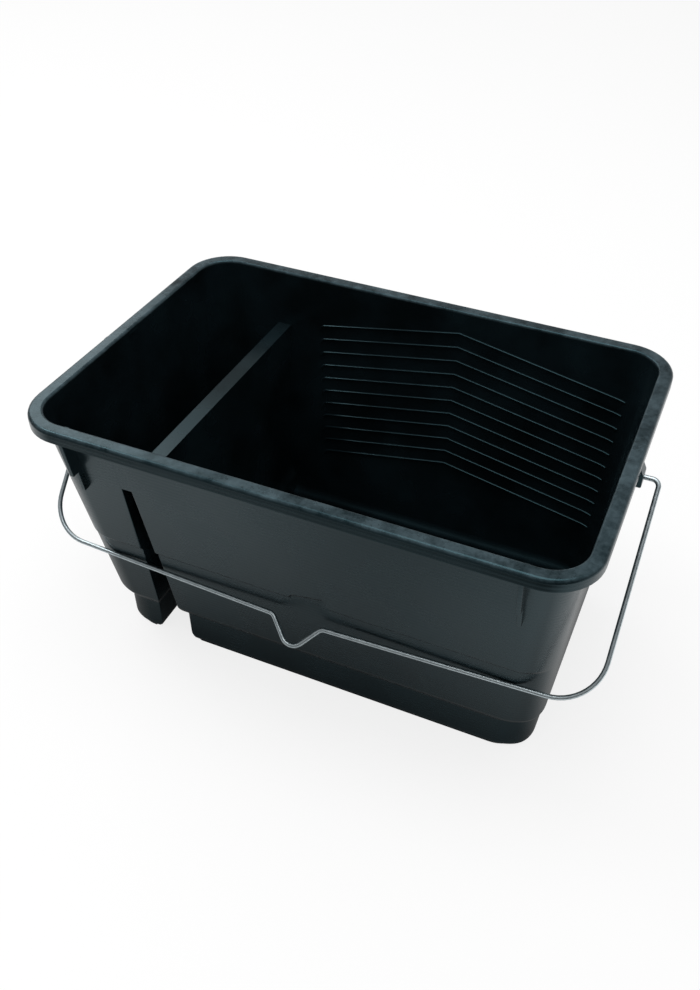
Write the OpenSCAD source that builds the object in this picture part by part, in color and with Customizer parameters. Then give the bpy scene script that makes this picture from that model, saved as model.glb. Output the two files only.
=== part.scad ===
// Two-well paint scuttle: one thin-walled plastic moulding that stands on its own base, with a
// roller well, a brush well, roll-off ribs and a bent wire bail that swings in two side lugs.
// Millimetres. +Z is up, +X runs towards the roller well's end, +Y towards the ribbed back wall.
// The origin is on the floor, under the middle of the rim.

/* [Tub] */
// Height from the floor to the top of the rim
tub_h = 238; // [225:1:260]
// Outer length of the rim, left to right
rim_l = 430; // [420:1:450]
// Outer width of the rim, front to back
rim_w = 290; // [280:1:310]
// Outer corner radius of the rim
rim_r = 35.5; // [32:0.5:45]
// Width of the rim's flat top
flange_w = 11.2; // [10:0.1:14]
// Drop of the rim's skirt
skirt_h = 10; // [8:0.5:14]
// Thickness of every moulded wall
wall = 2; // [1.8:0.1:2.6]
// Lean of the two end walls, outwards going up, in degrees
end_lean = 4.28; // [3:0.01:5]
// Lean of the front and back walls, outwards going up, in degrees
face_lean = 8.23; // [7:0.01:9]
// Outer corner radius of the walls
corner_r = 28; // [26:0.5:32]

/* [Ledge and foot] */
// Height of the stacking ledge across the front wall
ledge_h = 113; // [100:1:125]
// Depth of the ledge
ledge_in = 2.5; // [1:0.1:3.5]
// Height of the foot's upper edge on the front, the ends and the slot
foot_h = 40; // [34:1:48]
// Height of the foot's upper edge on the back wall
back_foot_h = 19; // [17:1:24]
// Inset of the foot
foot_in = 5; // [3:0.5:6]
// Edge radius round the base
base_r = 3; // [2:0.5:4]

/* [Divider and slot] */
// Centre of the divider, left of the middle
divider_x = -132; // [-140:1:-120]
// Drop from the rim's top to the divider's top strip
divider_drop = 48.6; // [40:0.1:60]
// Width of the divider's top strip
divider_w = 12.6; // [12:0.1:14]
// Lean of each side of the divider, in degrees
divider_lean = 1.92; // [1:0.01:2.5]

/* [Roll-off ribs] */
// Number of ribs on the back wall
rib_count = 11; // [4:1:12]
// Spacing of the ribs, measured up the wall
rib_pitch = 12.72; // [11:0.01:13]
// Drop from the rim's top to the peak of the first rib
rib_drop = 19.5; // [16:0.5:24]
// Sideways place of the ribs' peaks
rib_peak_x = 33.8; // [20:0.1:45]
// Fall of each rib on both sides of its peak, in degrees
rib_fall = 10; // [5:0.5:12]
// Width of a rib
rib_w = 1.6; // [1.2:0.1:2.4]
// Height of a rib above the wall
rib_proud = 1.5; // [1:0.1:2]

/* [Stacking fins] */
// Distance of each fin from the middle, left and right
fin_x = 170; // [160:1:175]
// Thickness of a fin
fin_t = 3.5; // [2.5:0.1:4]
// Drop from the rim's top to the fin's step
fin_step_drop = 41.5; // [35:0.5:45]
// Drop from the rim's top to the fin's lower end
fin_end_drop = 61; // [50:1:75]

/* [Bail] */
// Diameter of the wire
wire_d = 3.7; // [3.4:0.1:3.7]
// Diameter of the hole in each lug
lug_hole_d = 3.8; // [3.8:0.05:3.9]
// Drop from the rim's top to the bail's axis
pivot_drop = 17; // [15:0.5:20]
// Distance from the bail's middle to each arm
arm_x = 230.4; // [230:0.1:240]
// Sideways play of the bail, as it lies in its lugs
bail_play = -1.5; // [-2:0.1:2]
// Distance from the axis to the bottom of the hook
bail_reach = 193.5; // [193:0.5:200]
// Depth of the hook in the middle of the bail
hook_depth = 19.1; // [18:0.1:22]
// Lean of the bail from hanging straight down, resting on the front wall, in degrees
rest_lean = 42.7; // [42.6:0.1:46]

/* [Hidden] */
$fn = 48;
eps = 0.4;                                  // cutters reach past the faces they cut by this much
corner_steps = 7;                           // flats round each quarter corner of a wall
rim_edge_r = 3;                             // round on the rim's outer edge
lip_r = 1.5;                                // round on the rim's inner edge
foot_chamfer = 8;                           // height of the slope above the foot
slot_edge_r = 8;                            // flare of the slot where it meets the floor
wall_l = rim_l / 2 - flange_w + wall;       // outer half length of the walls at the rim's top
wall_w = rim_w / 2 - flange_w + wall;       // outer half width of the walls at the rim's top
fin_step = 0.44;                            // how far the fin's lower part stands out, of its upper part
lug_out = 2.5;                              // the lugs stand this far outside the skirt
lug_w = 12;
lug_top_drop = 4;                           // drop from the rim's top to the lug's upper and lower end
lug_end_drop = 23;
rib_right_l = 152.5;                        // length of a rib's two arms at the rim, and how fast
rib_left_l = 134;                           // they shorten going down
rib_right_taper = 0.062;
rib_left_taper = 0.077;
lug_blind = 1.5;                            // plastic left behind the blind hole
notch_x = [-8, 26];                         // the arched notch in the ledge, left and right
notch_h = [12, 20];                         // its lower and upper crease above the ledge
pin_x = arm_x - 21.2;                       // inner end of each pin, from the bail's middle
elbow_r = 5;
bend_r_left = 33;                           // the bail is bent by hand, so its two big bends differ
bend_r_right = 36;
bar_sag = 2;                                // fall of the bar towards the hook, in degrees
hook_slope = 50;                            // slope of the hook's sides, in degrees
hook_top_r = 7;
hook_end_r = 10;
bend_thinning = 0.06;                       // wire thins by this much where it is bent

// Outer half length and half width of the plain leaning walls at height z
function half_l(z) = wall_l - (tub_h - z) * tan(end_lean);
function half_w(z) = wall_w - (tub_h - z) * tan(face_lean);

// One level of a tub wall: a rounded rectangle with its own front and back distances
function level(z, l, front, back, r) = [
    for (c = [[l - r, back - r, 0], [r - l, back - r, 90], [r - l, r - front, 180], [l - r, r - front, 270]])
        for (k = [0:corner_steps])
            [c[0] + r * cos(c[2] + 90 * k / corner_steps), c[1] + r * sin(c[2] + 90 * k / corner_steps), z]
];

// A level of the leaning walls, moved in by the foot's and the ledge's insets and the wall's thickness
function wall_level(z, ends_in, front_in, back_in, t = 0) =
    level(z, half_l(z) - ends_in - t, half_w(z) - front_in - t, half_w(z) - back_in - t, corner_r - t);

// A closed solid through a stack of levels
module stack(levels) {
    n = len(levels[0]);
    m = len(levels);
    polyhedron(
        points = [for (ring = levels) each ring],
        faces = [
            [for (i = [0:n - 1]) i],
            for (j = [0:m - 2]) for (i = [0:n - 1]) [j * n + i, (j + 1) * n + i, (j + 1) * n + (i + 1) % n],
            for (j = [0:m - 2]) for (i = [0:n - 1]) [j * n + i, (j + 1) * n + (i + 1) % n, j * n + (i + 1) % n],
            [for (i = [n - 1:-1:0]) (m - 1) * n + i]
        ]);
}

// The walls and floor as a solid block: rounded base, vertical foot, sloped shoulder, ledge and
// leaning walls. With t set to the wall's thickness it is the space inside them.
module wall_block(t, floor_z) {
    foot_top = foot_h - foot_chamfer;
    back_foot_top = back_foot_h - foot_in;
    foot_back = half_w(back_foot_top) - foot_in;
    foot_l = half_l(foot_top) - foot_in;
    foot_front = half_w(foot_top) - ledge_in - foot_in;
    edge = max(base_r - t, 1);
    stack([
        level(floor_z, foot_l - t - edge, foot_front - t - edge, foot_back - t - edge, corner_r - t),
        level(floor_z + edge * 0.3, foot_l - t - edge * 0.3, foot_front - t - edge * 0.3,
              foot_back - t - edge * 0.3, corner_r - t),
        level(floor_z + edge, foot_l - t, foot_front - t, foot_back - t, corner_r - t),
        level(back_foot_top + t / 2, foot_l - t, foot_front - t, foot_back - t, corner_r - t),
        level(back_foot_h + t / 2, foot_l - t, foot_front - t, half_w(back_foot_h) - t, corner_r - t),
        level(foot_top + t / 2, foot_l - t, foot_front - t, half_w(foot_top) - t, corner_r - t),
        wall_level(foot_h + t / 2, 0, ledge_in, 0, t),
        wall_level(ledge_h + t, 0, ledge_in, 0, t),
        wall_level(ledge_h + t + eps, 0, 0, 0, t),
        wall_level(tub_h, 0, 0, 0, t)
    ]);
}

// The rolled rim: a flat flange with a skirt, hollow underneath
module rim() {
    difference() {
        stack([
            level(tub_h - skirt_h, rim_l / 2, rim_w / 2, rim_w / 2, rim_r),
            level(tub_h - rim_edge_r, rim_l / 2, rim_w / 2, rim_w / 2, rim_r),
            level(tub_h - rim_edge_r * 0.3, rim_l / 2 - rim_edge_r * 0.3, rim_w / 2 - rim_edge_r * 0.3,
                  rim_w / 2 - rim_edge_r * 0.3, rim_r - rim_edge_r * 0.3),
            level(tub_h, rim_l / 2 - rim_edge_r, rim_w / 2 - rim_edge_r, rim_w / 2 - rim_edge_r, rim_r - rim_edge_r)
        ]);
        stack([for (z = [tub_h - skirt_h - eps, tub_h - wall])
            level(z, rim_l / 2 - wall, rim_w / 2 - wall, rim_w / 2 - wall, rim_r - wall)]);
    }
}

// The space inside the walls, with a rounded lip at the top
module inside_block() {
    wall_block(wall, wall);
    stack([
        wall_level(tub_h - lip_r - eps, 0, 0, 0, wall),
        wall_level(tub_h - lip_r, 0, 0, 0, wall),
        wall_level(tub_h - lip_r * 0.3, -lip_r * 0.3, -lip_r * 0.3, -lip_r * 0.3, wall),
        wall_level(tub_h, -lip_r, -lip_r, -lip_r, wall),
        wall_level(tub_h + eps, -lip_r, -lip_r, -lip_r, wall)
    ]);
}

// Half width of the divider at height z; below the shoulder each foot steps in and widens it
divider_top = tub_h - divider_drop;
function divider_half(z) = divider_w / 2 + (divider_top - z) * tan(divider_lean);

// Outline of the divider across the tub (t = 0) or of the slot under it (t = the wall)
module divider_outline(t) {
    foot_top = foot_h - foot_chamfer;
    foot_half = divider_half(foot_top) + foot_in - t;
    side = [
        [divider_half(divider_top) - t, divider_top - t],
        [divider_half(foot_h) - t, foot_h],
        [foot_half, foot_top],
        for (k = [0:4]) [foot_half + slot_edge_r * (1 - cos(18 * k)), slot_edge_r * (1 - sin(18 * k)) + wall - t],
        [foot_half + slot_edge_r, -eps]
    ];
    translate([divider_x, 0])
        polygon(concat(side, [for (i = [len(side) - 1:-1:0]) [-side[i][0], side[i][1]]]));
}

module across(l) {
    translate([0, l / 2, 0])
        rotate([90, 0, 0])
            linear_extrude(height = l)
                children();
}

// The arched notch in the ledge: a shallow pocket whose roof slopes back to the wall's face
module ledge_notch(t) {
    roof = [ledge_h + notch_h[0], ledge_h + notch_h[1]];
    translate([notch_x[0] - t, 0, 0])
        rotate([90, 0, 90])
            linear_extrude(height = notch_x[1] - notch_x[0] + 2 * t)
                polygon([
                    [-half_w(ledge_h - eps) - 2 * t - 1, ledge_h - eps],
                    [-half_w(ledge_h - eps) + ledge_in + t, ledge_h - eps],
                    [-half_w(roof[0]) + ledge_in + t, roof[0] + t / 2],
                    [-half_w(roof[1]) + t, roof[1] + t / 2],
                    [-half_w(roof[1]) - 1, roof[1] + t / 2]
                ]);
}

// A stepped fin under the rim, so that stacked tubs do not jam together
module fin() {
    step_z = tub_h - fin_step_drop;
    end_z = tub_h - fin_end_drop;
    skirt_z = tub_h - skirt_h;
    under_z = tub_h - wall / 2;
    upper_out = rim_w / 2 - half_w(skirt_z) - eps;
    lower_out = upper_out * fin_step;
    rotate([90, 0, 90])
        translate([0, 0, -fin_t / 2])
            linear_extrude(height = fin_t)
                polygon([
                    [-half_w(under_z) + wall / 2, under_z],
                    [-rim_w / 2 + wall / 2, under_z],
                    [-half_w(skirt_z) - upper_out, skirt_z],
                    [-half_w(step_z) - upper_out, step_z],
                    [-half_w(step_z) - lower_out, step_z],
                    [-half_w(end_z) - lower_out, end_z],
                    [-half_w(end_z) + wall / 2, end_z]
                ]);
}

// A wedge-shaped lug on an end wall, under and outside the skirt, with a blind hole for the pin
lug_x = rim_l / 2 + lug_out;
module lug() {
    top_z = tub_h - lug_top_drop;
    end_z = tub_h - lug_end_drop;
    translate([0, lug_w / 2, 0])
        rotate([90, 0, 0])
            linear_extrude(height = lug_w)
                polygon([
                    [half_l(top_z) - wall / 2, top_z],
                    [rim_l / 2 - wall / 2, top_z],
                    [lug_x, tub_h - pivot_drop + lug_hole_d / 2 + 2],
                    [lug_x, end_z + 1],
                    [lug_x - 1, end_z],
                    [half_l(end_z) - wall / 2, end_z]
                ]);
}

module lug_hole() {
    hole_start = half_l(tub_h - pivot_drop) + lug_blind;
    translate([hole_start, 0, tub_h - pivot_drop])
        rotate([0, 90, 0])
            cylinder(d = lug_hole_d, h = lug_x - hole_start + eps);
}

// One roll-off rib: two straight arms falling away from a peak, on the leaning inside of the back wall
module rib(drop) {
    peak_z = tub_h - drop;
    right_l = rib_right_l - rib_right_taper * drop;
    left_l = rib_left_l - rib_left_taper * drop;
    translate([rib_peak_x, half_w(peak_z) - wall, peak_z])
        rotate([-face_lean, 0, 0]) {
            rotate([0, rib_fall, 0])
                translate([0, -rib_proud, -rib_w / 2])
                    cube([right_l, rib_proud + wall / 2, rib_w]);
            rotate([0, -rib_fall, 0])
                translate([-left_l, -rib_proud, -rib_w / 2])
                    cube([left_l, rib_proud + wall / 2, rib_w]);
        }
}

module tub() {
    color("#1d2628") {
        difference() {
            union() {
                wall_block(0, 0);
                rim();
                for (side = [-1, 1]) {
                    translate([side * fin_x, 0, 0]) fin();
                    translate([side * fin_x, 0, 0]) mirror([0, 1, 0]) fin();
                }
                lug();
                mirror([1, 0, 0]) lug();
            }
            difference() {
                inside_block();
                across(rim_w) divider_outline(0);
                ledge_notch(wall);
            }
            across(rim_w) divider_outline(wall);
            ledge_notch(0);
            lug_hole();
            mirror([1, 0, 0]) lug_hole();
        }
        for (i = [0:rib_count - 1]) rib(rib_drop + i * rib_pitch);
    }
}

// Wire run along +Z, then whatever follows it. A run reaches a little into the bends at its ends.
module run(l) {
    translate([0, 0, -eps])
        cylinder(d = wire_d, h = l + 2 * eps);
    translate([0, 0, l]) children();
}

// Wire bent towards +X by an angle, or towards -X if the angle is negative, then what follows it.
// Wire thins a little where it is bent.
module bend(r, a) {
    centre = a > 0 ? r : -r;
    translate([centre, 0, 0]) {
        rotate([90, 0, 0])
            rotate([0, 0, a > 0 ? 180 - a : 0])
                rotate_extrude(angle = abs(a))
                    translate([r, 0])
                        circle(d = wire_d - bend_thinning);
        rotate([0, a, 0])
            translate([-centre, 0, 0])
                children();
    }
}

// Length of each straight stretch: the hook's slope, the bar and the arm beside a big bend of radius r
slope_l = (hook_depth - hook_top_r * (cos(bar_sag) - cos(hook_slope)) - hook_end_r * (1 - cos(hook_slope)))
    / sin(hook_slope);
hook_half = hook_top_r * (sin(hook_slope) - sin(bar_sag)) + slope_l * cos(hook_slope)
    + hook_end_r * sin(hook_slope);
function bar_l(r) = (arm_x - r * (1 - sin(bar_sag)) - hook_half) / cos(bar_sag);
function arm_l(r) = bail_reach - elbow_r - r * cos(bar_sag) - bar_l(r) * sin(bar_sag) - hook_depth;

// The bail as one length of wire, from its right pin round to its left pin
module bail_handle() {
    right_r = bend_r_right;
    left_r = bend_r_left;
    pin_l = arm_x - elbow_r - pin_x;
    color("#b9c4c8")
        translate([bail_play, 0, tub_h - pivot_drop])
            rotate([-rest_lean, 0, 0])
                translate([pin_x, 0, 0])
                    rotate([0, 90, 0])
                        run(pin_l) bend(elbow_r, 90)
                            run(arm_l(right_r)) bend(right_r, 90 - bar_sag) run(bar_l(right_r))
                                bend(hook_top_r, bar_sag - hook_slope) run(slope_l)
                                    bend(hook_end_r, 2 * hook_slope) run(slope_l)
                                        bend(hook_top_r, bar_sag - hook_slope)
                                            run(bar_l(left_r)) bend(left_r, 90 - bar_sag)
                                                run(arm_l(left_r)) bend(elbow_r, 90) run(pin_l);
}

tub();
bail_handle();
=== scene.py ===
import math

import bmesh
import bpy
from mathutils import Matrix, Vector


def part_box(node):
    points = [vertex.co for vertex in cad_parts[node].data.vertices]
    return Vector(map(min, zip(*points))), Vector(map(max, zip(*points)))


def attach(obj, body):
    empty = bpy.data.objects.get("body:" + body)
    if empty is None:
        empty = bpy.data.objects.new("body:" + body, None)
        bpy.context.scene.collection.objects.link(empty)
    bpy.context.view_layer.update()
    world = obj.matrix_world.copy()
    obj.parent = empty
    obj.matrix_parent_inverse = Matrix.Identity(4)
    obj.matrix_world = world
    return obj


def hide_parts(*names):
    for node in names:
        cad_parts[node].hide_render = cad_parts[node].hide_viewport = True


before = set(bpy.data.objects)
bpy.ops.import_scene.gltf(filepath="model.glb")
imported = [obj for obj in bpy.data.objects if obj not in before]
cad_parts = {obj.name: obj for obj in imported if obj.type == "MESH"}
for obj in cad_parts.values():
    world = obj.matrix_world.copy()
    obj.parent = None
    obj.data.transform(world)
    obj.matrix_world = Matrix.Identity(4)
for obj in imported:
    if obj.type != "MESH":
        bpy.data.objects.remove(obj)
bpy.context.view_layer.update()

# ---------------------------------------------------------------------------------------------
# Tub shell. One injection moulding in dark polypropylene with 2 mm walls: a roller well and a
# brush well that share one mouth, with an open slot between them. The outer and the inner skin
# are made alike, from a box cut into levels, and then joined along the bottom of the rim's skirt.
# ---------------------------------------------------------------------------------------------
MM = 0.001
WALL = 2 * MM
tub_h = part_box("tub")[1].z
rim_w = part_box("tub")[1].y                  # half width and half length over the rim
rim_l = 215 * MM
skirt_h = 10 * MM
flange = 11.2 * MM                          # flat top of the rim, out to the skirt's face
wall_l = rim_l - flange + WALL              # half length and half width over the walls, at the rim
wall_w = rim_w - flange + WALL
corner_r = 28 * MM
end_lean = math.tan(math.radians(4.28))     # the walls lean out going up
face_lean = math.tan(math.radians(8.23))
foot_in = 5 * MM                            # the foot steps in by this much and stands upright
foot_edge, foot_top = 40 * MM, 32 * MM
back_edge, back_top = 19 * MM, 14 * MM      # the back wall steps in lower down
ledge_h = 113 * MM                          # stacking ledge across the front wall
ledge_in = 2.5 * MM                         # it comes in by this much, over a short roll and a slope
ledge_r, ledge_turn = 3 * MM, math.radians(31)
divider_x = -132 * MM
divider_top = tub_h - 48.6 * MM
divider_half = 6.3 * MM
slot_lean = math.tan(math.radians(1.92))
base_flare = 8 * MM                         # the slot's sides flare out where they meet the floor
notch_l, notch_r = -8 * MM, 26 * MM         # arched notch in the ledge
notch_h = 10 * MM
base_r = 3 * MM                             # rounding of the walls into the floor


def edit(piece):
    """Opens a piece for editing, with nothing in it selected."""
    bpy.ops.object.select_all(action="DESELECT")
    bpy.context.view_layer.objects.active = piece
    piece.select_set(True)
    bpy.ops.object.mode_set(mode="EDIT")
    bpy.ops.mesh.select_all(action="DESELECT")


def close():
    bpy.ops.object.mode_set(mode="OBJECT")


def pick(rule, kind="verts"):
    """Selects what the rule accepts, by place or normal: corners, edges or faces of the open piece."""
    bpy.ops.mesh.select_mode(type={"verts": "VERT", "edges": "EDGE", "faces": "FACE"}[kind])
    bpy.ops.mesh.select_all(action="DESELECT")
    mesh = bmesh.from_edit_mesh(bpy.context.object.data)
    for item in getattr(mesh, kind):
        if kind == "verts":
            chosen = rule(item.co)
        elif kind == "edges":
            a, b = (v.co for v in item.verts)
            chosen = rule((a + b) / 2, (b - a).normalized(), item)
        else:
            chosen = rule(item.calc_center_median(), item.normal)
        item.select_set(bool(chosen))
    mesh.select_flush_mode()
    bmesh.update_edit_mesh(bpy.context.object.data)


def shift(rule, by):
    """Moves the corners that the rule accepts."""
    pick(rule)
    bpy.ops.transform.translate(value=by)


def near(a, b, gap=0.02 * MM):
    return abs(a - b) < gap


def soft(u, upper=0.5, lower=0.15):
    """0 below 0 and 1 above 1, straight between, with the two bends rounded over upper and lower."""
    def bend(v, k):
        return 0 if v < -k else v if v > k else (v + k) ** 2 / (4 * k)
    return bend(u, upper) - bend(u - 1, lower)


def quarter(r, steps=3):
    """Points of a quarter round of radius r, as (along, across), from its start to its end."""
    turns = [math.radians(90 * k / steps) for k in range(steps + 1)]
    return [(r * math.sin(t), r - r * math.cos(t)) for t in turns]


def skin(name, t):
    """One side of the moulding: the outer skin for t = 0, the inner one for t = the wall."""
    # Heights of the levels, each with how far the ledge has come in there. The wall rolls over
    # into a slope that ends in a sharp inner corner.
    roll_in = ledge_r * (1 - math.cos(ledge_turn))
    slope_end = ledge_h - t * math.tan(ledge_turn / 2)
    roll_end = ledge_h + (ledge_in - roll_in) / math.tan(ledge_turn) + ledge_r * math.sin(ledge_turn)
    turns = [ledge_turn * k / 4 for k in range(5)]
    ledge = [(roll_end - (ledge_r - t) * math.sin(a), (ledge_r - t) * (1 - math.cos(a)))
             for a in turns]
    ledge += [(slope_end, ledge_in)]
    base = t + base_r - t / 2               # top of the rounding round the floor
    heights = [t + h * (base - t) for h in (0.12, 0.35, 0.65, 1)]
    heights += [6 * MM, 9 * MM]
    heights += [back_top + d * MM for d in (-2.5, -1.2, 0, 1.1, 2.2, 3.3, 4.4, 5.6, 7, 8.5)]
    heights += [foot_top + d * MM + t / 2
                for d in (-1.2, -0.4, 0.4, 1.2, 2.5, 4, 5.3, 6.7, 8, 9.3, 10.7, 12)]
    rows = [(t, 0)] + [(z, ledge_in) for z in heights] + sorted(ledge)
    slot_z = divider_top - (WALL - t)
    top_z = tub_h - WALL if t == 0 else tub_h - 2 * MM
    rows += [(slot_z, 0), (top_z, 0)]
    slot_half = divider_half - WALL         # the columns beside the slot start alike on both skins

    # An upright box, cut at each level and at the slot and the notch, with its four corners rounded.
    bpy.ops.object.select_all(action="DESELECT")
    bpy.ops.mesh.primitive_cube_add(size=1, location=(0, 0, (t + top_z) / 2),
                                    scale=(2 * wall_l - 2 * t, 2 * wall_w - 2 * t, top_z - t))
    bpy.ops.object.transform_apply(location=True, rotation=True, scale=True)
    piece = bpy.context.object
    piece.name = piece.data.name = name
    edit(piece)
    box_l, box_w, r = wall_l - t, wall_w - t, corner_r - t
    pick(lambda middle, normal: normal.z > 0.9, "faces")
    bpy.ops.mesh.delete(type="FACE")
    pick(lambda middle, along, edge: abs(along.z) > 0.9, "edges")
    bpy.ops.mesh.bevel(offset=r, segments=12, affect="EDGES", clamp_overlap=False)
    beside_slot = (0, 0.3 * MM, 1.1 * MM)   # columns beside the slot, from its edge outwards
    slot_columns = [side * (slot_half + d) for side in (-1, 1) for d in beside_slot]
    notch_columns = [notch_l + u * (notch_r - notch_l) for u in (0, 0.06, 0.16, 0.5, 0.84, 0.94, 1)]
    cuts = [((0, 0, z), (0, 0, 1)) for z, inset in rows[1:-1]]
    cuts += [((x, 0, 0), (1, 0, 0)) for x in [divider_x + c for c in slot_columns] + notch_columns]
    for where, normal in cuts:
        bpy.ops.mesh.select_all(action="SELECT")
        bpy.ops.mesh.bisect(plane_co=where, plane_no=normal)

    # The slot: its floor, front and back are taken out, and the two open arches are joined.
    in_slot = lambda x: abs(x - divider_x) < slot_half + 0.01 * MM
    pick(lambda middle, normal: in_slot(middle.x) and middle.z < slot_z, "faces")
    bpy.ops.mesh.delete(type="FACE")
    pick(lambda middle, along, edge: edge.is_boundary and in_slot(middle.x) and near(abs(middle.y),
                                                                                     box_w)
         and abs(along.y) < 0.1 and middle.z < slot_z + MM, "edges")
    bpy.ops.mesh.bridge_edge_loops()

    # Each level moves in to its place, the corners with their walls so that their radius stays.
    # The ledge fades out round the corners, column by column.
    fade = [(2, 0.07), (3, 0.13), (4, 0.22), (5, 0.23), (6, 0.2), (7, 0.12), (8, 0.03)]
    arc_l, arc_w = box_l - r - 0.01 * MM, box_w - r - 0.01 * MM
    for z, ledge_inset in rows:
        at = lambda co, z=z: near(co.z, z)
        round_in = (base - t) * (1 - math.sqrt(max(0, 1 - (1 - min(1, (z - t) / (base - t))) ** 2)))
        foot = foot_in * soft((foot_edge + t / 2 - z) / (foot_edge - foot_top))
        back_foot = foot_in * soft((back_edge + t / 2 - z) / (back_edge - back_top), 0.7, 0.5)
        ends = (tub_h - max(z, foot_top)) * end_lean + foot + round_in
        front = (tub_h - max(z, foot_top)) * face_lean + foot + round_in
        back = (tub_h - max(z, back_top)) * face_lean + back_foot + round_in
        flare = base_flare * (1 - math.sqrt(max(0, 1 - (1 - min(1, z / base_flare)) ** 2)))
        slot_out = t + max(0, slot_z - max(z, foot_top)) * slot_lean + foot + max(flare - 2 * t, 0)
        for side in (-1, 1):
            for d in beside_slot:
                column = divider_x + side * (slot_half + d)
                if z > slot_z + MM:
                    continue
                shift(lambda co: at(co) and near(co.x, column), (side * slot_out, 0, 0))
                # the slot's upright corners are rounded on the outer skin
                if t == 0 and d < MM and z < slot_z - MM:
                    turn_in = (0.9 if d == 0 else 0.25) * MM
                    moved = column + side * slot_out
                    for face in (-1, 1):
                        shift(lambda co: at(co) and near(co.x, moved) and co.y * face > 0,
                              (0, -face * turn_in, 0))
            shift(lambda co: at(co) and co.x * side > arc_l, (-side * ends, 0, 0))
        shift(lambda co: at(co) and co.y < -arc_w, (0, front, 0))
        for k, share in fade if ledge_inset else ():
            column_x = box_l - r - ends + r * math.sin(math.radians(90 / 12 * k)) + 0.1 * MM
            shift(lambda co: at(co) and co.y < -arc_w + front and abs(co.x) < column_x,
                  (0, ledge_inset * share, 0))
        shift(lambda co: at(co) and co.y > arc_w, (0, -back, 0))

    # The notch: between its columns the ledge climbs the leaning wall, more so towards the right.
    for column, rise in zip(notch_columns[1:-1], (0.35, 0.45, 0.75, 1, 0.6)):
        for z, inset in ledge:
            climb = rise * notch_h
            shift(lambda co: near(co.x, column) and near(co.z, z) and co.y < 0,
                  (0, -climb * face_lean, climb))
    return piece, box_l - (tub_h - top_z) * end_lean, box_w - (tub_h - top_z) * face_lean, r, top_z


def grow(l, w, r, steps):
    """Carries the open top edge on through the steps, each a way outwards and a height."""
    lift = 1                                # far enough above to tell the new edge from the old
    for by, z_from, z_to in steps:
        pick(lambda middle, along, edge: edge.is_boundary, "edges")
        bpy.ops.mesh.extrude_edges_move(TRANSFORM_OT_translate={"value": (0, 0, lift)})
        new = lambda co: co.z > lift / 2
        centre_x, centre_y = l - r, w - r
        past_x, past_y = centre_x - 0.01 * MM, centre_y - 0.01 * MM
        growth = (r + by) / r
        for sx in (-1, 1):
            for sy in (-1, 1):
                pick(lambda co: new(co) and co.x * sx > past_x and co.y * sy > past_y)
                bpy.ops.transform.resize(value=(growth, growth, 1),
                                         center_override=(sx * centre_x, sy * centre_y, 0))
        for sy in (-1, 1):
            shift(lambda co: new(co) and abs(co.x) < past_x and co.y * sy > 0, (0, sy * by, 0))
        shift(new, (0, 0, z_to - z_from - lift))
        l, w, r = l + by, w + by, r + by


outer, top_l, top_w, top_r, top_z = skin("tub_outer", 0)
grow(top_l, top_w, top_r, [(rim_l - WALL - top_l, top_z, top_z), (0, top_z, tub_h - skirt_h)])
close()

# The inner skin goes on over a rounded lip, the flat of the rim and a rounded brow, down the skirt.
inner, top_l, top_w, top_r, top_z = skin("tub_inner", WALL)
lip_r, brow_r, edge_r = 2 * MM, 3 * MM, 0.4 * MM
skirt_end, rim_out = tub_h - skirt_h, rim_l - top_l
path = [(across, top_z + along) for along, across in quarter(lip_r, 4)[1:]]
path += [(rim_out - brow_r + along, tub_h - across) for along, across in quarter(brow_r, 5)]
path += [(rim_out, skirt_end + edge_r), (rim_out - edge_r, skirt_end), (rim_out - WALL, skirt_end)]
steps, here = [], (0, top_z)
for out, up in path:
    steps.append((out - here[0], here[1], up))
    here = (out, up)
grow(top_l, top_w, top_r, steps)
close()

# Both skins become one closed moulding.
bpy.ops.object.select_all(action="DESELECT")
outer.select_set(True)
inner.select_set(True)
bpy.context.view_layer.objects.active = outer
bpy.ops.object.join()
tub = outer
tub.name = tub.data.name = "tub_shell"
edit(tub)
bpy.ops.mesh.select_all(action="SELECT")
bpy.ops.mesh.remove_doubles(threshold=0.02 * MM)
bpy.ops.mesh.normals_make_consistent(inside=False)
close()
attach(tub, "tub")
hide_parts("tub")


def finish_shade(piece, angle=32):
    """Smooths the curved faces and keeps the flat ones flat."""
    bpy.ops.object.select_all(action="DESELECT")
    piece.select_set(True)
    bpy.context.view_layer.objects.active = piece
    bpy.ops.object.shade_smooth_by_angle(angle=math.radians(angle))
    bpy.ops.object.modifier_add(type="WEIGHTED_NORMAL")
    piece.modifiers[-1].keep_sharp = True
    bpy.ops.object.modifier_apply(modifier=piece.modifiers[-1].name)


finish_shade(tub, 25)


def colour(code):
    """Linear colour of an sRGB hex value."""
    parts = [int(code[k:k + 2], 16) / 255 for k in (1, 3, 5)]
    return [c / 12.92 if c <= 0.04045 else ((c + 0.055) / 1.055) ** 2.4 for c in parts] + [1]


def add(tree, kind, links=(), **settings):
    """Adds a node. Settings name its properties; links and values go to its sockets by name."""
    node = tree.nodes.new("ShaderNode" + kind)
    for key, value in settings.items():
        setattr(node, key, value)
    for socket, value in dict(links).items():
        target = node.inputs[socket]
        if isinstance(value, bpy.types.NodeSocket):
            tree.links.new(value, target)
        else:
            target.default_value = value
    return node


def material(name):
    """A new material with nothing but its output."""
    made = bpy.data.materials.new(name)
    made.use_nodes = True
    made.node_tree.nodes.clear()
    return made, made.node_tree, made.node_tree.nodes.new("ShaderNodeOutputMaterial")


def wear(piece, made):
    """Gives the piece its finish."""
    piece.data.materials.clear()
    piece.data.materials.append(made)


# Polypropylene with carbon black in it, moulded in a lightly polished tool: nearly black with a
# cold green-blue cast, and satin, so what shows is mostly soft reflection.
plastic, tree, output = material("moulded_black_polypropylene")
place = add(tree, "TexCoord").outputs["Object"]
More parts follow.
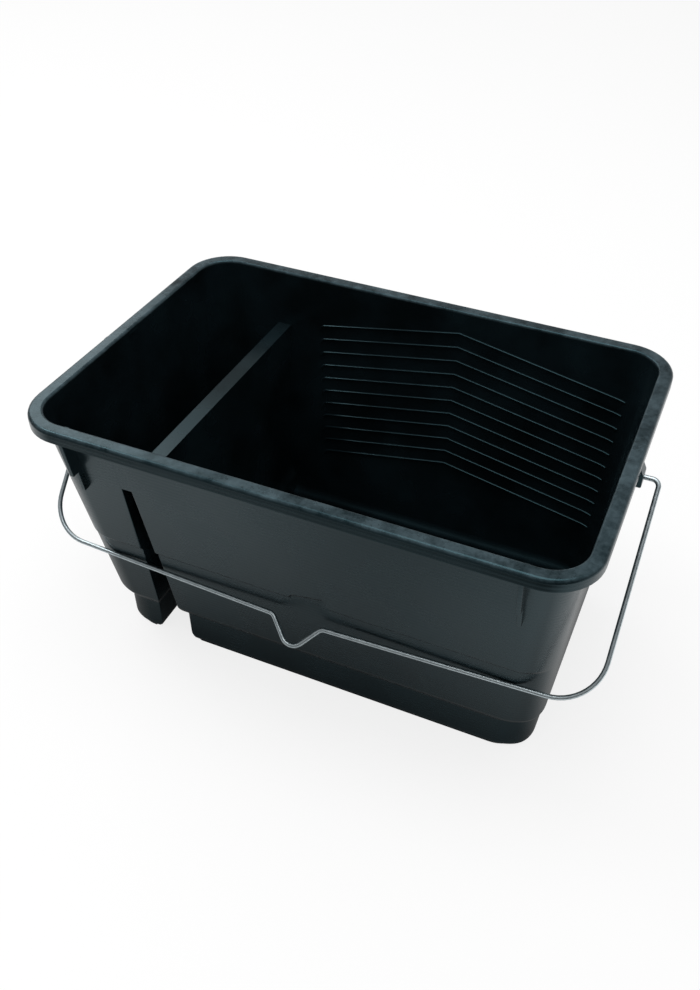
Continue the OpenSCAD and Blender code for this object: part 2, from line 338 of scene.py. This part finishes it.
# Flow marks: faint streaks some 3.5 mm apart, nearly level, on the outside of the front wall.
flow = add(tree, "TexWave", {"Vector": place, "Scale": 90, "Distortion": 2.5, "Detail": 2,
                             "Detail Scale": 0.12},
           bands_direction="Z")
apart = add(tree, "SeparateXYZ", {0: place})
in_front = add(tree, "MapRange", {"Value": apart.outputs["Y"],
                                  "From Min": -0.1, "From Max": -0.095, "To Min": 1, "To Max": 0})
facing = add(tree, "SeparateXYZ", {0: add(tree, "TexCoord").outputs["Normal"]})
outside = add(tree, "MapRange", {"Value": facing.outputs["Y"],
                                 "From Min": -0.6, "From Max": -0.4, "To Min": 1, "To Max": 0})
flow = add(tree, "Math", {0: flow.outputs["Fac"], 1: in_front.outputs[0]}, operation="MULTIPLY")
flow = add(tree, "Math", {0: flow.outputs[0], 1: outside.outputs[0]}, operation="MULTIPLY")
# Cloudiness: patches some 60 mm across, where the surface is duller or dusty.
cloud = add(tree, "TexNoise", {"Vector": place, "Scale": 16, "Detail": 3, "Roughness": 0.55})
# Tooling grain, really 0.1 mm, drawn at 0.6 mm so that it shows.
grain = add(tree, "TexNoise", {"Vector": place, "Scale": 1600, "Detail": 1})
rough_flow = add(tree, "MapRange", {"Value": flow.outputs[0],
                                    "From Min": 0, "From Max": 1, "To Min": 0, "To Max": 0.03})
rough_cloud = add(tree, "MapRange", {"Value": cloud.outputs[0],
                                     "From Min": 0.3, "From Max": 0.7, "To Min": 0.2, "To Max": 0.3})
rough = add(tree, "Math", {0: rough_flow.outputs[0], 1: rough_cloud.outputs[0]}, operation="ADD")
dust = add(tree, "MapRange", {"Value": cloud.outputs[0], "From Min": 0.35, "From Max": 0.7})
tint = add(tree, "Mix", {"Factor": dust.outputs[0],
                         "A": colour("#070c0e"), "B": colour("#111b1f")}, data_type="RGBA")
tint = add(tree, "Mix", {"Factor": flow.outputs[0],
                         "A": tint.outputs["Result"], "B": colour("#10191c")}, data_type="RGBA")
# Scuffs: the top of the rim is rubbed and dusty, in patches and fine scratches.
on_rim = add(tree, "MapRange", {"Value": apart.outputs["Z"],
                                "From Min": tub_h - 2.5 * MM, "From Max": tub_h - 0.5 * MM})
rub = add(tree, "TexNoise", {"Vector": place, "Scale": 45, "Detail": 6, "Roughness": 0.75})
rub = add(tree, "MapRange", {"Value": rub.outputs[0], "From Min": 0.35, "From Max": 0.72})
scuffed = add(tree, "Math", {0: on_rim.outputs[0], 1: rub.outputs[0]}, operation="MULTIPLY")
tint = add(tree, "Mix", {"Factor": scuffed.outputs[0],
                         "A": tint.outputs["Result"], "B": colour("#46545a")}, data_type="RGBA")
rough = add(tree, "Mix", {"Factor": scuffed.outputs[0], "A": rough.outputs[0], "B": 0.3})
bump = add(tree, "Bump", {"Height": grain.outputs[0], "Strength": 0.04, "Distance": 0.05 * MM})
flow_bump = add(tree, "Bump", {"Height": flow.outputs[0], "Strength": 1, "Distance": 0.02 * MM,
                               "Normal": bump.outputs[0]})
shader = add(tree, "BsdfPrincipled", {"Base Color": tint.outputs["Result"],
                                      "Roughness": rough.outputs["Result"],
                                      "Normal": flow_bump.outputs[0], "IOR": 1.49,
                                      "Specular IOR Level": 0.5, "Specular Tint": colour("#a2dfef")})
tree.links.new(shader.outputs[0], output.inputs["Surface"])
wear(tub, plastic)

# ---------------------------------------------------------------------------------------------
# Roll-off ribs. Eleven low ribs moulded in one with the inside of the back wall, for squeezing
# the roller. Each falls away on both sides of its peak and curls over in a small hook at its
# left end.
# ---------------------------------------------------------------------------------------------
RIB_COUNT = 11
rib_pitch = 12.72 * MM
rib_drop = 19.5 * MM
rib_peak_x = 33.8 * MM
rib_fall = math.radians(10)
rib_w, rib_proud = 1.6 * MM, 1.5 * MM
rib_right, rib_left = 152.5 * MM, 134 * MM      # arms, peak to end, if the peak were at the rim
rib_right_taper, rib_left_taper = 0.062, 0.077  # the arms shorten going down
hook_r = 5 * MM
rib_tip = 0.8 * MM                              # length of the tapered end of a rib
tip_proud, tip_thick = 0.7, 0.55                # its size there, of the full size
hook_tip = Vector((-0.07, 0, -0.8)) * MM        # the tapered end of the hook
down = (-math.cos(rib_fall), -math.sin(rib_fall))


def half_l(z):
    """Half the tub's length over its walls at a height."""
    return wall_l - (tub_h - z) * end_lean


def half_w(z):
    """Half its width there."""
    return wall_w - (tub_h - z) * face_lean


right_l = rib_right - rib_right_taper * rib_drop - MM
left_l = rib_left - rib_left_taper * rib_drop - hook_r
start = (right_l * math.cos(rib_fall), 0, -right_l * math.sin(rib_fall))
bpy.ops.object.select_all(action="DESELECT")
bpy.ops.mesh.primitive_circle_add(vertices=12, radius=rib_w / 2, fill_type="NGON", location=start,
                                  rotation=(0, math.pi / 2, 0))
bpy.ops.object.transform_apply(location=True, rotation=True, scale=True)
rib = bpy.context.object
edit(rib)
bpy.ops.mesh.select_all(action="SELECT")
bpy.ops.transform.resize(value=(1, tip_proud * rib_proud / (rib_w / 2), tip_thick),
                         center_override=start)


def carry(by, factor=(1, 1, 1), centre=None):
    """Carries the selected end face on and resizes it about its new middle."""
    bpy.ops.mesh.extrude_region_move(TRANSFORM_OT_translate={"value": by})
    if centre:
        bpy.ops.transform.resize(value=factor, center_override=centre)


full_x = start[0] - rib_tip
carry((-rib_tip, 0, 0), (1, 1 / tip_proud, 1 / tip_thick), (full_x, 0, start[2]))
carry((-full_x, 0, -start[2]))
carry((left_l * down[0], 0, left_l * down[1]))
end = (left_l * down[0], left_l * down[1])
bpy.ops.mesh.spin(steps=6, angle=math.radians(75), axis=(0, 1, 0),
                  center=(end[0] - hook_r * down[1], 0, end[1] + hook_r * down[0]))
close()


def end_middle(piece):
    """Middle of the face that is still selected at the end of a run."""
    chosen = [v.co for v in piece.data.vertices if v.select]
    return sum(chosen, Vector()) / len(chosen)


tip = end_middle(rib) + hook_tip
bpy.ops.object.mode_set(mode="EDIT")
carry(hook_tip, (0.5, 0.6, 1), tip)
bpy.ops.mesh.select_all(action="SELECT")
bpy.ops.mesh.normals_make_consistent(inside=False)
close()

ribs = [rib]
for i in range(1, RIB_COUNT):
    copy = rib.copy()
    copy.data = rib.data.copy()
    bpy.context.collection.objects.link(copy)
    ribs.append(copy)
for i, piece in enumerate(ribs):
    # Each arm is shortened, then the rib is laid on the leaning wall at its own height.
    drop = rib_drop + i * rib_pitch
    edit(piece)
    less = (drop - rib_drop) * rib_right_taper
    shift(lambda co: co.x > 50 * MM, (-less * math.cos(rib_fall), 0, less * math.sin(rib_fall)))
    less = (drop - rib_drop) * rib_left_taper
    shift(lambda co: co.x < -50 * MM, (-less * down[0], 0, -less * down[1]))
    bpy.ops.mesh.select_all(action="SELECT")
    bpy.ops.transform.rotate(value=math.atan(face_lean), orient_axis="X", center_override=(0, 0, 0))
    bpy.ops.transform.translate(value=(rib_peak_x, half_w(tub_h - drop) - WALL, tub_h - drop))
    # Its right end follows the wall round the start of the corner.
    arm = rib_right - rib_right_taper * drop - MM
    end_x = rib_peak_x + arm * math.cos(rib_fall)
    arc_x = half_l(tub_h - drop - arm * math.sin(rib_fall)) - corner_r
    arc_r = corner_r - WALL
    arc_cuts = [arc_x + d * MM for d in (0, 2.5, 5, 7, 8.5)]
    arc_cuts = [cut for cut in arc_cuts if cut < end_x - 1.5 * MM]
    for cut in arc_cuts:
        bpy.ops.mesh.select_all(action="SELECT")
        bpy.ops.mesh.bisect(plane_co=(cut, 0, 0), plane_no=(1, 0, 0))
    for cut in arc_cuts + [end_x - rib_tip, end_x]:
        shift(lambda co: near(co.x, cut), (0, math.sqrt(arc_r ** 2 - (cut - arc_x) ** 2) - arc_r, 0))
    close()
bpy.ops.object.select_all(action="DESELECT")
for piece in ribs:
    piece.select_set(True)
bpy.context.view_layer.objects.active = rib
bpy.ops.object.join()
rib.name = rib.data.name = "tub_ribs"
finish_shade(rib, 60)
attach(rib, "tub")
wear(rib, plastic)

# ---------------------------------------------------------------------------------------------
# Stacking fins. Two stepped fins under the rim on the front wall and two on the back wall, moulded
# in one with it, which keep stacked tubs from jamming together.
# ---------------------------------------------------------------------------------------------
fin_x, fin_t = 170 * MM, 3.5 * MM
step_z, fin_end = tub_h - 41.5 * MM, tub_h - 61 * MM
skirt_z = tub_h - skirt_h
fin_back, fin_edge = 0.4 * MM, 0.45 * MM        # how far behind the skirt it stays, and its rounding
fin_out = rim_w - half_w(skirt_z) - fin_back
fin_step = 0.44                                 # how far the lower part stands out, of the upper
bpy.ops.object.select_all(action="DESELECT")
bpy.ops.mesh.primitive_cube_add(size=1, location=(fin_x, -half_w(step_z), (step_z + skirt_z) / 2),
                                scale=(fin_t, 2 * MM, skirt_z - step_z))
bpy.ops.object.transform_apply(location=True, rotation=True, scale=True)
fin = bpy.context.object
edit(fin)
front = lambda co: co.y < -half_w(step_z)
inside = lambda co: co.y > -half_w(step_z)
for z in (skirt_z, step_z):
    shift(lambda co: near(co.z, z) and front(co), (0, -half_w(z) - fin_out + half_w(step_z) + MM, 0))
    shift(lambda co: near(co.z, z) and inside(co) and co.y > -half_w(z) - 3 * MM,
          (0, -half_w(z) + WALL / 2 + half_w(step_z) - MM, 0))
# the upper end goes on up inside the rim
pick(lambda middle, normal: normal.z > 0.9, "faces")
bpy.ops.mesh.extrude_region_move(TRANSFORM_OT_translate={"value": (0, 0, skirt_h - WALL / 2)})
shift(lambda co: co.z > skirt_z + MM and co.y < -half_w(skirt_z) - 3 * MM, (0, 0.6 * MM, 0))
# the lower part is carried down from the inner end of the step
bpy.ops.mesh.select_all(action="SELECT")
step_y = -half_w(step_z) - fin_out * fin_step
bpy.ops.mesh.bisect(plane_co=(0, step_y, 0), plane_no=(0, 1, 0))
pick(lambda middle, normal: normal.z < -0.9 and middle.y > step_y, "faces")
along_wall = (0, half_w(step_z) - half_w(fin_end), fin_end - step_z)
bpy.ops.mesh.extrude_region_move(TRANSFORM_OT_translate={"value": along_wall})
pick(lambda middle, along, edge: middle.y < -half_w(middle.z) - 0.5 * MM and middle.z < skirt_z + MM
     and not near(edge.calc_face_angle(0), 0, 0.3), "edges")
bpy.ops.mesh.bevel(offset=fin_edge, segments=2, affect="EDGES")
close()

fins = [fin]
for mirror_x, mirror_y in ((-1, 1), (1, -1), (-1, -1)):
    copy = fin.copy()
    copy.data = fin.data.copy()
    bpy.context.collection.objects.link(copy)
    edit(copy)
    bpy.ops.mesh.select_all(action="SELECT")
    bpy.ops.transform.resize(value=(mirror_x, mirror_y, 1), center_override=(0, 0, 0))
    bpy.ops.mesh.normals_make_consistent(inside=False)
    close()
    fins.append(copy)
bpy.ops.object.select_all(action="DESELECT")
for piece in fins:
    piece.select_set(True)
bpy.context.view_layer.objects.active = fin
bpy.ops.object.join()
fin.name = fin.data.name = "tub_fins"
finish_shade(fin)
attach(fin, "tub")
wear(fin, plastic)

# ---------------------------------------------------------------------------------------------
# Bail lugs. A wedge on each end wall, moulded in one with it and standing just outside the skirt,
# with a blind hole that the end of the bail springs into.
# ---------------------------------------------------------------------------------------------
pivot_z = tub_h - 17 * MM
hole_r = 1.9 * MM
lug_w, lug_x = 12 * MM, rim_l + 2.5 * MM
lug_top, lug_end = tub_h - 4 * MM, tub_h - 23 * MM
shoulder_z = pivot_z + hole_r + 2 * MM          # the lug slopes in above this
lug_edge = 0.8 * MM
bpy.ops.object.select_all(action="DESELECT")
lug_middle = ((half_l(lug_end) + lug_x) / 2, 0, (lug_top + lug_end) / 2)
bpy.ops.mesh.primitive_cube_add(size=1, location=lug_middle,
                                scale=(lug_x - half_l(lug_end) + WALL, lug_w, lug_top - lug_end))
bpy.ops.object.transform_apply(location=True, rotation=True, scale=True)
lug = bpy.context.object
edit(lug)
bpy.ops.mesh.select_all(action="SELECT")
bpy.ops.mesh.bisect(plane_co=(0, 0, shoulder_z), plane_no=(0, 0, 1))
shift(lambda co: co.x > rim_l and co.z > lug_top - MM, (rim_l - WALL / 2 - lug_x - WALL / 2, 0, 0))
shift(lambda co: co.x > rim_l - 5 * MM and co.z > lug_end - MM, (-WALL / 2, 0, 0))
pick(lambda middle, along, edge: middle.x > rim_l - 2 * MM and middle.z < lug_top - MM
     and not near(edge.calc_face_angle(0), 0, 0.1), "edges")
bpy.ops.mesh.bevel(offset=lug_edge, segments=3, affect="EDGES")
close()
hole_x, drill_l = half_l(pivot_z) + 1.5 * MM, 20 * MM
bpy.ops.object.select_all(action="DESELECT")
bpy.ops.mesh.primitive_cylinder_add(vertices=32, radius=hole_r, depth=drill_l,
                                    location=(hole_x + drill_l / 2, 0, pivot_z),
                                    rotation=(0, math.pi / 2, 0))
bpy.ops.object.transform_apply(location=True, rotation=True, scale=True)
drill = bpy.context.object
bpy.ops.object.select_all(action="DESELECT")
lug.select_set(True)
bpy.context.view_layer.objects.active = lug
bpy.ops.object.modifier_add(type="BOOLEAN")
lug.modifiers[-1].operation = "DIFFERENCE"
lug.modifiers[-1].object = drill
bpy.ops.object.modifier_apply(modifier=lug.modifiers[-1].name)
bpy.data.objects.remove(drill)
left = lug.copy()
left.data = lug.data.copy()
bpy.context.collection.objects.link(left)
edit(left)
bpy.ops.mesh.select_all(action="SELECT")
bpy.ops.transform.resize(value=(-1, 1, 1), center_override=(0, 0, 0))
bpy.ops.mesh.normals_make_consistent(inside=False)
close()
bpy.ops.object.select_all(action="DESELECT")
lug.select_set(True)
left.select_set(True)
bpy.context.view_layer.objects.active = lug
bpy.ops.object.join()
lug.name = lug.data.name = "bail_lugs"
finish_shade(lug)
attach(lug, "tub")
wear(lug, plastic)

# ---------------------------------------------------------------------------------------------
# Bail. One length of 3.7 mm galvanised steel wire, bent cold to a handle with a hook in the
# middle of its bar; its two ends turn in and spring into the lugs. It rests on the front wall.
# ---------------------------------------------------------------------------------------------
wire_r = 1.85 * MM
arm_x = 230.4 * MM
bail_play = -1.5 * MM                           # it lies a little to the left in its lugs
bail_reach = 193.5 * MM
rest_lean = math.radians(42.7)
pin_x = arm_x - 21.2 * MM
elbow_r, right_r, left_r = 5 * MM, 36 * MM, 33 * MM
bar_sag, hook_slope = math.radians(2), math.radians(50)
hook_depth, hook_top_r, hook_end_r = 19.1 * MM, 7 * MM, 10 * MM
slope_l = (hook_depth - hook_top_r * (math.cos(bar_sag) - math.cos(hook_slope))
           - hook_end_r * (1 - math.cos(hook_slope))) / math.sin(hook_slope)
hook_half = (hook_top_r * (math.sin(hook_slope) - math.sin(bar_sag)) + slope_l * math.cos(hook_slope)
             + hook_end_r * math.sin(hook_slope))


def bar_l(r):
    return (arm_x - r * (1 - math.sin(bar_sag)) - hook_half) / math.cos(bar_sag)


def arm_l(r):
    return bail_reach - elbow_r - r * math.cos(bar_sag) - bar_l(r) * math.sin(bar_sag) - hook_depth


# Straight lengths, and bends as (radius, turn), from the right pin round to the left one.
pin_l = arm_x - elbow_r - pin_x
quarter_turn = math.pi / 2
way = [pin_l, (elbow_r, quarter_turn), arm_l(right_r), (right_r, quarter_turn - bar_sag),
       bar_l(right_r),
       (hook_top_r, bar_sag - hook_slope), slope_l, (hook_end_r, 2 * hook_slope), slope_l,
       (hook_top_r, bar_sag - hook_slope), bar_l(left_r), (left_r,
                                                           quarter_turn - bar_sag), arm_l(left_r),
       (elbow_r, quarter_turn), pin_l]
at, heading = Vector((pin_x, 0, 0)), 0
bpy.ops.object.select_all(action="DESELECT")
cut_r, cut_share = 0.5 * MM, 0.7                # the cut ends of the wire are slightly rounded
bpy.ops.mesh.primitive_circle_add(vertices=20, radius=cut_share * wire_r, fill_type="NGON", location=at,
                                  rotation=(0, quarter_turn, 0))
bpy.ops.object.transform_apply(location=True, rotation=True, scale=True)
bail = bpy.context.object
edit(bail)
bpy.ops.mesh.select_all(action="SELECT")
carry((cut_r, 0, 0), (1, 1 / cut_share, 1 / cut_share), at + Vector((cut_r, 0, 0)))
at.x += cut_r
for k, part in enumerate(way):
    ahead = Vector((math.cos(heading), 0, -math.sin(heading)))
    if isinstance(part, tuple):
        r, turn = part
        side = Vector((ahead.z, 0, -ahead.x))
        centre = at + side * math.copysign(r, turn)
        steps = max(3, round(abs(turn) / math.radians(7)))
        bpy.ops.mesh.spin(steps=steps, angle=turn, axis=(0, -1, 0), center=centre)
        at = centre + Matrix.Rotation(turn, 3, "Y") @ (at - centre)
        heading += turn
    else:
        length = part - (cut_r if k in (0, len(way) - 1) else 0)
        bpy.ops.mesh.extrude_region_move(TRANSFORM_OT_translate={"value": ahead * length})
        at = at + ahead * length
last = at + Vector((math.cos(heading), 0, -math.sin(heading))) * cut_r
carry(last - at, (1, cut_share, cut_share), last)
bpy.ops.mesh.select_all(action="SELECT")
bpy.ops.mesh.normals_make_consistent(inside=False)
bpy.ops.transform.rotate(value=rest_lean, orient_axis="X", center_override=(0, 0, 0))
bpy.ops.transform.translate(value=(bail_play, 0, pivot_z))
close()
bail.name = bail.data.name = "bail"
finish_shade(bail, 60)
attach(bail, "bail")
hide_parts("bail_handle")

# The bail is hot-dip galvanised: a pale, cold grey metal, slightly dull, with faint mottling.
steel, tree, output = material("galvanised_steel_wire")
place = add(tree, "TexCoord").outputs["Object"]
spangle = add(tree, "TexNoise", {"Vector": place, "Scale": 260, "Detail": 3, "Roughness": 0.6})
tint = add(tree, "Mix", {"Factor": spangle.outputs[0],
                         "A": colour("#a2b0b5"), "B": colour("#dde8ec")}, data_type="RGBA")
rough = add(tree, "MapRange", {"Value": spangle.outputs[0],
                               "From Min": 0.3, "From Max": 0.7, "To Min": 0.3, "To Max": 0.45})
shader = add(tree, "BsdfPrincipled", {"Base Color": tint.outputs["Result"],
                                      "Roughness": rough.outputs[0], "Metallic": 1})
tree.links.new(shader.outputs[0], output.inputs["Surface"])
wear(bail, steel)

# ---------------------------------------------------------------------------------------------
# Stage. A plain white floor under a white surround, one soft lamp high on the left, a broad one
# overhead and one behind on the left that edges the rim. The room that glossy surfaces mirror is
# darker or lighter by place, as in a furnished room; the floor they mirror carries painted shade
# and a painted bright patch.
# ---------------------------------------------------------------------------------------------
floor_l = 6
foot_l, foot_w = 0.19, 0.105                    # half the tub's foot, with its shade
shade_patch_place = (0, -0.22, 0)
bpy.ops.object.select_all(action="DESELECT")
bpy.ops.mesh.primitive_plane_add(size=1, location=(0, 0, 0))
floor = bpy.context.object
floor.name = floor.data.name = "floor"
edit(floor)
bpy.ops.mesh.select_all(action="SELECT")
bpy.ops.transform.resize(value=(floor_l, floor_l, 1))
close()
paper, tree, output = material("white_paper")
rays = add(tree, "LightPath")
view_share = add(tree, "Math", {0: rays.outputs["Is Camera Ray"],
                                1: rays.outputs["Is Transmission Ray"]},
                 operation="MAXIMUM")
view_share = add(tree, "Math", {0: view_share.outputs[0], 1: 0.75}, operation="MULTIPLY")
# Painted reflection: what glossy surfaces mirror of the floor glows bright on the right only.
spot = add(tree, "SeparateXYZ", {0: add(tree, "TexCoord").outputs["Object"]})
right_share = add(tree, "MapRange", {"Value": spot.outputs["X"],
                                     "From Min": 0.05, "From Max": 0.25, "To Min": 0.06, "To Max": 1})
mirror_share = add(tree, "Math", {0: rays.outputs["Is Glossy Ray"], 1: right_share.outputs[0]},
                   operation="MULTIPLY")
share = add(tree, "Math", {0: view_share.outputs[0], 1: mirror_share.outputs[0]}, operation="MAXIMUM")
# Painted shade: what they mirror of the floor gets dark towards the front.
far_dim = add(tree, "MapRange", {"Value": spot.outputs["Y"],
                                 "From Min": -0.3, "From Max": -0.39, "To Min": 0, "To Max": 0.97})
# It is darker too in the tub's own shade, close round its foot and between its two feet.
sides = []
for axis, half in (("X", foot_l), ("Y", foot_w)):
    off_middle = add(tree, "Math", {0: spot.outputs[axis]}, operation="ABSOLUTE")
    sides.append(add(tree, "Math", {0: off_middle.outputs[0], 1: half}, operation="SUBTRACT"))
beside = add(tree, "Math", {0: sides[0].outputs[0], 1: sides[1].outputs[0]}, operation="MAXIMUM")
near_dim = add(tree, "MapRange", {"Value": beside.outputs[0],
                                  "From Min": 0, "From Max": 0.12, "To Min": 0.78, "To Max": 0})
# Painted shade: a soft dark patch in front of its middle, too.
from_shade_patch = add(tree, "VectorMath", {0: add(tree, "TexCoord").outputs["Object"], 1: shade_patch_place},
                 operation="DISTANCE")
shade_patch_dim = add(tree, "MapRange", {"Value": from_shade_patch.outputs["Value"],
                                   "From Min": 0.03, "From Max": 0.17, "To Min": 0.4, "To Max": 0})
# All this painted shade darkens only what glossy rays see of the floor; the camera sees it white.
dim = add(tree, "Math", {0: far_dim.outputs[0], 1: near_dim.outputs[0]}, operation="MAXIMUM")
dim = add(tree, "Math", {0: dim.outputs[0], 1: shade_patch_dim.outputs[0]}, operation="MAXIMUM")
dim = add(tree, "Math", {0: dim.outputs[0], 1: rays.outputs["Is Glossy Ray"]}, operation="MULTIPLY")
near_white = add(tree, "Mix", {"Factor": dim.outputs[0],
                               "A": colour("#ffffff"), "B": colour("#000000")}, data_type="RGBA")
near_matt = add(tree, "Mix", {"Factor": dim.outputs[0],
                              "A": colour("#e8e8e8"), "B": colour("#808080")}, data_type="RGBA")
matt = add(tree, "BsdfDiffuse", {"Color": near_matt.outputs["Result"]})
glow = add(tree, "Emission", {"Color": near_white.outputs["Result"], "Strength": 1.06})
both = add(tree, "MixShader", {0: share.outputs[0], 1: matt.outputs[0], 2: glow.outputs[0]})
tree.links.new(both.outputs[0], output.inputs["Surface"])
wear(floor, paper)

world = bpy.data.worlds.new("surround")
bpy.context.scene.world = world
world.use_nodes = True
tree = world.node_tree
tree.nodes.clear()
output = tree.nodes.new("ShaderNodeOutputWorld")
rays = add(tree, "LightPath")
# The plastic and the wire mirror a room that is dark near the horizon and light overhead.
high = add(tree, "SeparateXYZ", {0: add(tree, "TexCoord").outputs["Generated"]})
room = add(tree, "MapRange", {"Value": high.outputs["Z"],
                              "From Min": 0.15, "From Max": 0.7, "To Min": 0.04, "To Max": 0.42})
low_down = add(tree, "MapRange", {"Value": high.outputs["Z"],
                                  "From Min": 0.25, "From Max": 0.45, "To Min": 0.5, "To Max": 0})
behind = add(tree, "MapRange", {"Value": high.outputs["Y"], "From Min": 0.3, "From Max": 0.7})
backdrop = add(tree, "Math", {0: low_down.outputs[0], 1: behind.outputs[0]}, operation="MULTIPLY")
room = add(tree, "Math", {0: room.outputs[0], 1: backdrop.outputs[0]}, operation="ADD")
soft_fill = 0.55                                # how brightly the surround lights the tub
level = add(tree, "Mix", {"Factor": rays.outputs["Is Glossy Ray"],
                          "A": soft_fill, "B": room.outputs[0]})
level = add(tree, "Mix", {"Factor": rays.outputs["Is Camera Ray"],
                          "A": level.outputs["Result"], "B": 1.0})
level = add(tree, "Mix", {"Factor": rays.outputs["Is Transmission Ray"],
                          "A": level.outputs["Result"], "B": 1.0})
surround = add(tree, "Background", {"Color": colour("#ffffff"), "Strength": level.outputs["Result"]})
tree.links.new(surround.outputs[0], output.inputs["Surface"])


def lamp(name, place, aim, size, power):
    """A soft square lamp that looks at a point."""
    light = bpy.data.lights.new(name, "AREA")
    light.shape = "SQUARE"
    light.size, light.energy = size, power
    item = bpy.data.objects.new(name, light)
    item.location = place
    item.rotation_euler = (Vector(aim) - Vector(place)).to_track_quat("-Z", "Y").to_euler()
    bpy.context.collection.objects.link(item)


centre = (0, 0, tub_h)
lamp("key", (-1.4, 0, 1.85), centre, 0.6, 9)
lamp("overhead", (0.1, -0.1, 1.9), centre, 1.2, 14)
lamp("rim", (-1.9, 1.25, 1.74), centre, 1.3, 11)

# ---------------------------------------------------------------------------------------------
# Camera, above the right front corner and looking down on the tub.
# ---------------------------------------------------------------------------------------------
azimuth, elevation, roll = (math.radians(a) for a in (22.0, 40.62, -1.28))
ahead = Vector((-math.sin(azimuth) * math.cos(elevation), math.cos(azimuth) * math.cos(elevation),
                -math.sin(elevation)))
level_right = Vector((math.cos(azimuth), math.sin(azimuth), 0))
level_up = level_right.cross(ahead)
right = math.cos(roll) * level_right - math.sin(roll) * level_up
up = math.sin(roll) * level_right + math.cos(roll) * level_up
view = bpy.data.cameras.new("camera")
view.lens = 36.22
view.shift_x, view.shift_y = -0.0323, -0.0011
camera = bpy.data.objects.new("camera", view)
camera.matrix_world = Matrix((right, up, -ahead)).transposed().to_4x4()
camera.location = (0.2501, -0.5729, tub_h + 0.4278)
bpy.context.collection.objects.link(camera)
bpy.context.scene.camera = camera
bpy.context.scene.view_settings.view_transform = "Standard"
